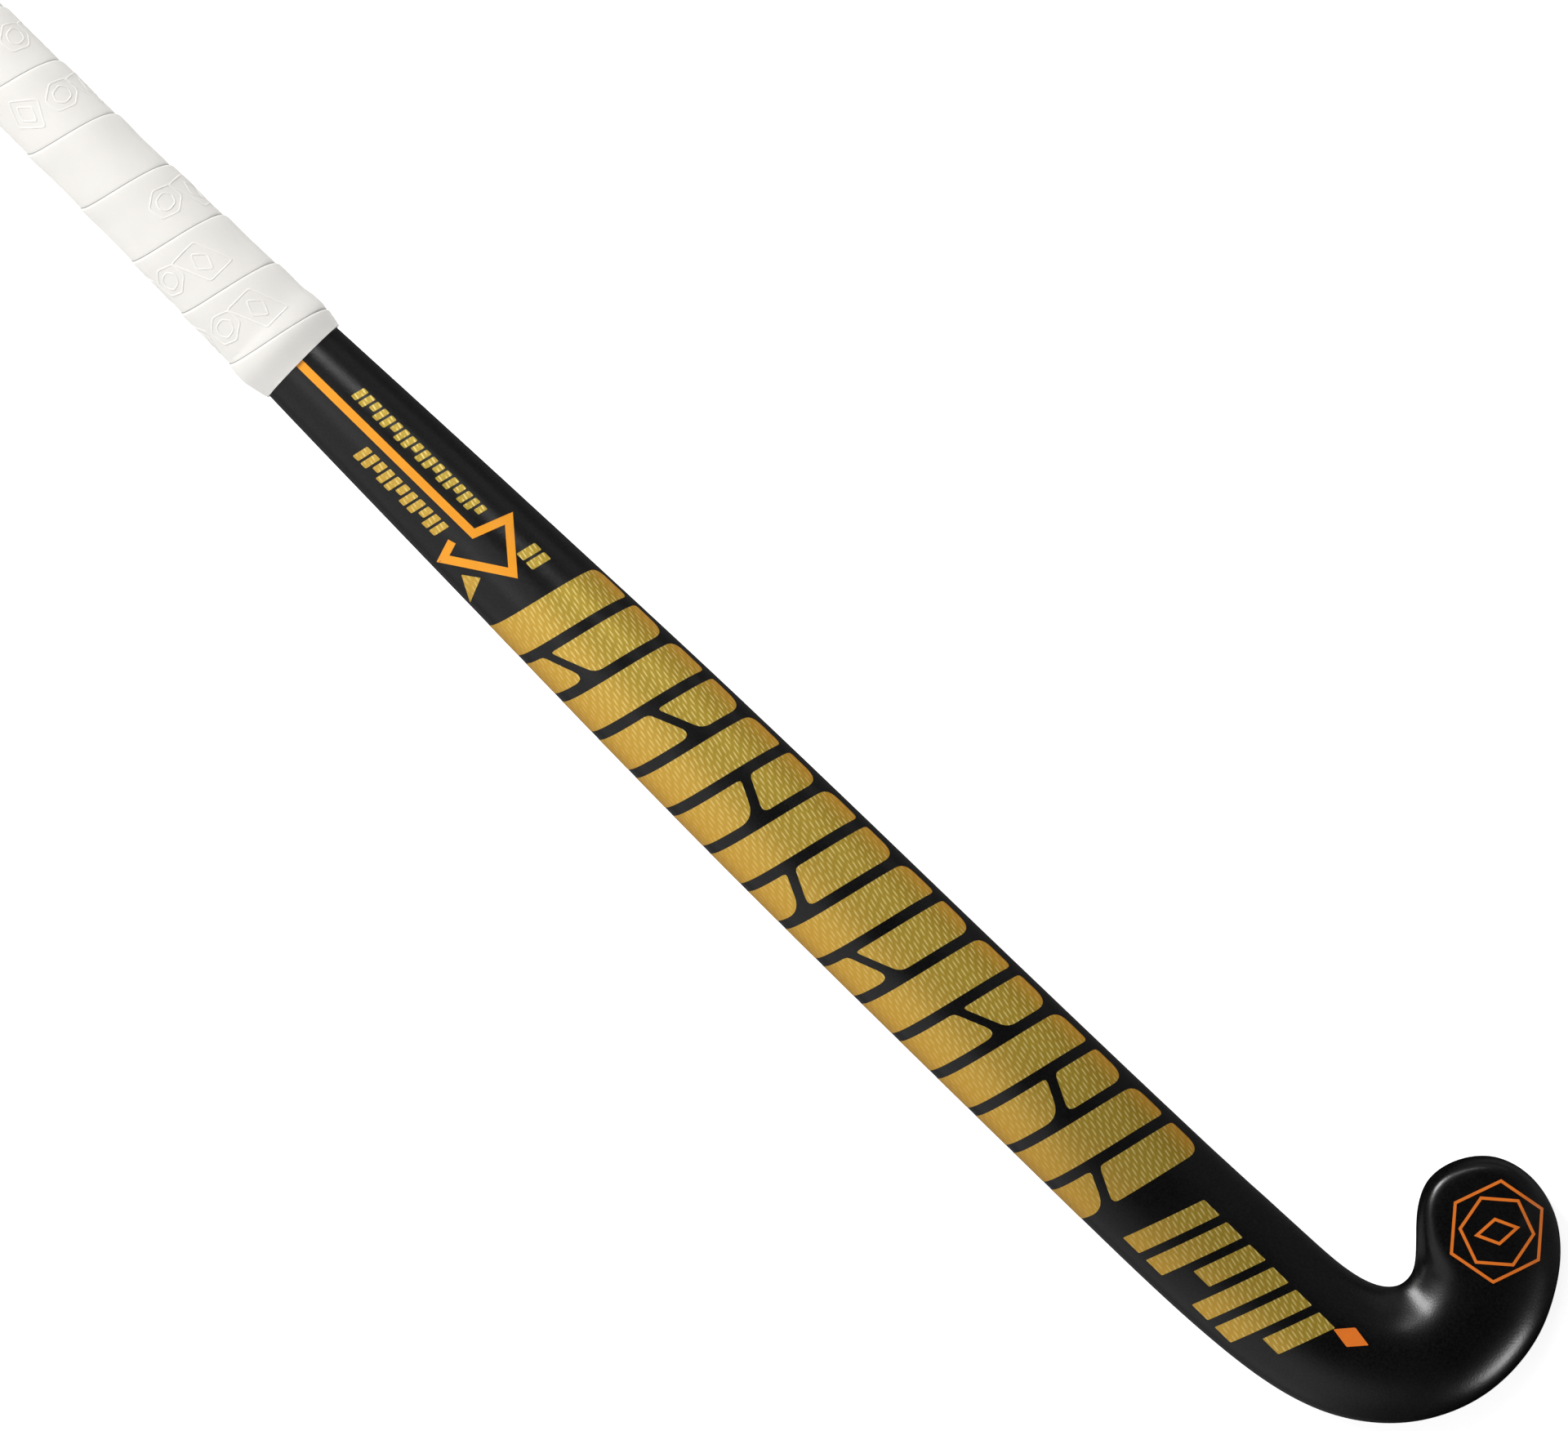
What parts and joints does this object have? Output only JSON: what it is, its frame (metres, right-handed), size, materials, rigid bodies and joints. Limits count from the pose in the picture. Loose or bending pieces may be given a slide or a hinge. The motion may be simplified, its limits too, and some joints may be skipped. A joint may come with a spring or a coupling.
{
  "type": "field hockey stick",
  "caption": "Low-bow composite field hockey stick with a J-shaped maxi head, hollow laminate body and wound cushion grip.",
  "frame": {"origin": "middle of the footprint on the ground, with the stick lying on its flat playing face", "axes": "+X from the butt to the head, +Y to the side the toe points to, +Z out of the rounded back"},
  "size_m": [0.9268, 0.1176, 0.0472],
  "materials": {
    "lacquered_laminate": "satin black lacquer over carbon and glass laminate",
    "bare_laminate": "raw cured laminate",
    "core_foam": "closed-cell polyurethane foam",
    "plug_plastic": "moulded plastic",
    "cap_rubber": "moulded rubber",
    "adhesive_foam": "double-sided foam tape",
    "grip_cushion": "soft white polyurethane, matt, finely pored"
  },
  "bodies": {
    "root": {"composite_shell": "lacquered_laminate", "centre_web": "bare_laminate", "head_core": "core_foam", "handle_foam_heel_side": "core_foam", "handle_foam_toe_side": "core_foam", "butt_plug": "plug_plastic", "end_cap": "cap_rubber", "adhesive_foam_wrap": "adhesive_foam", "grip_stop_ring": "cap_rubber", "grip_tape": "grip_cushion"}
  },
  "joints": []
}
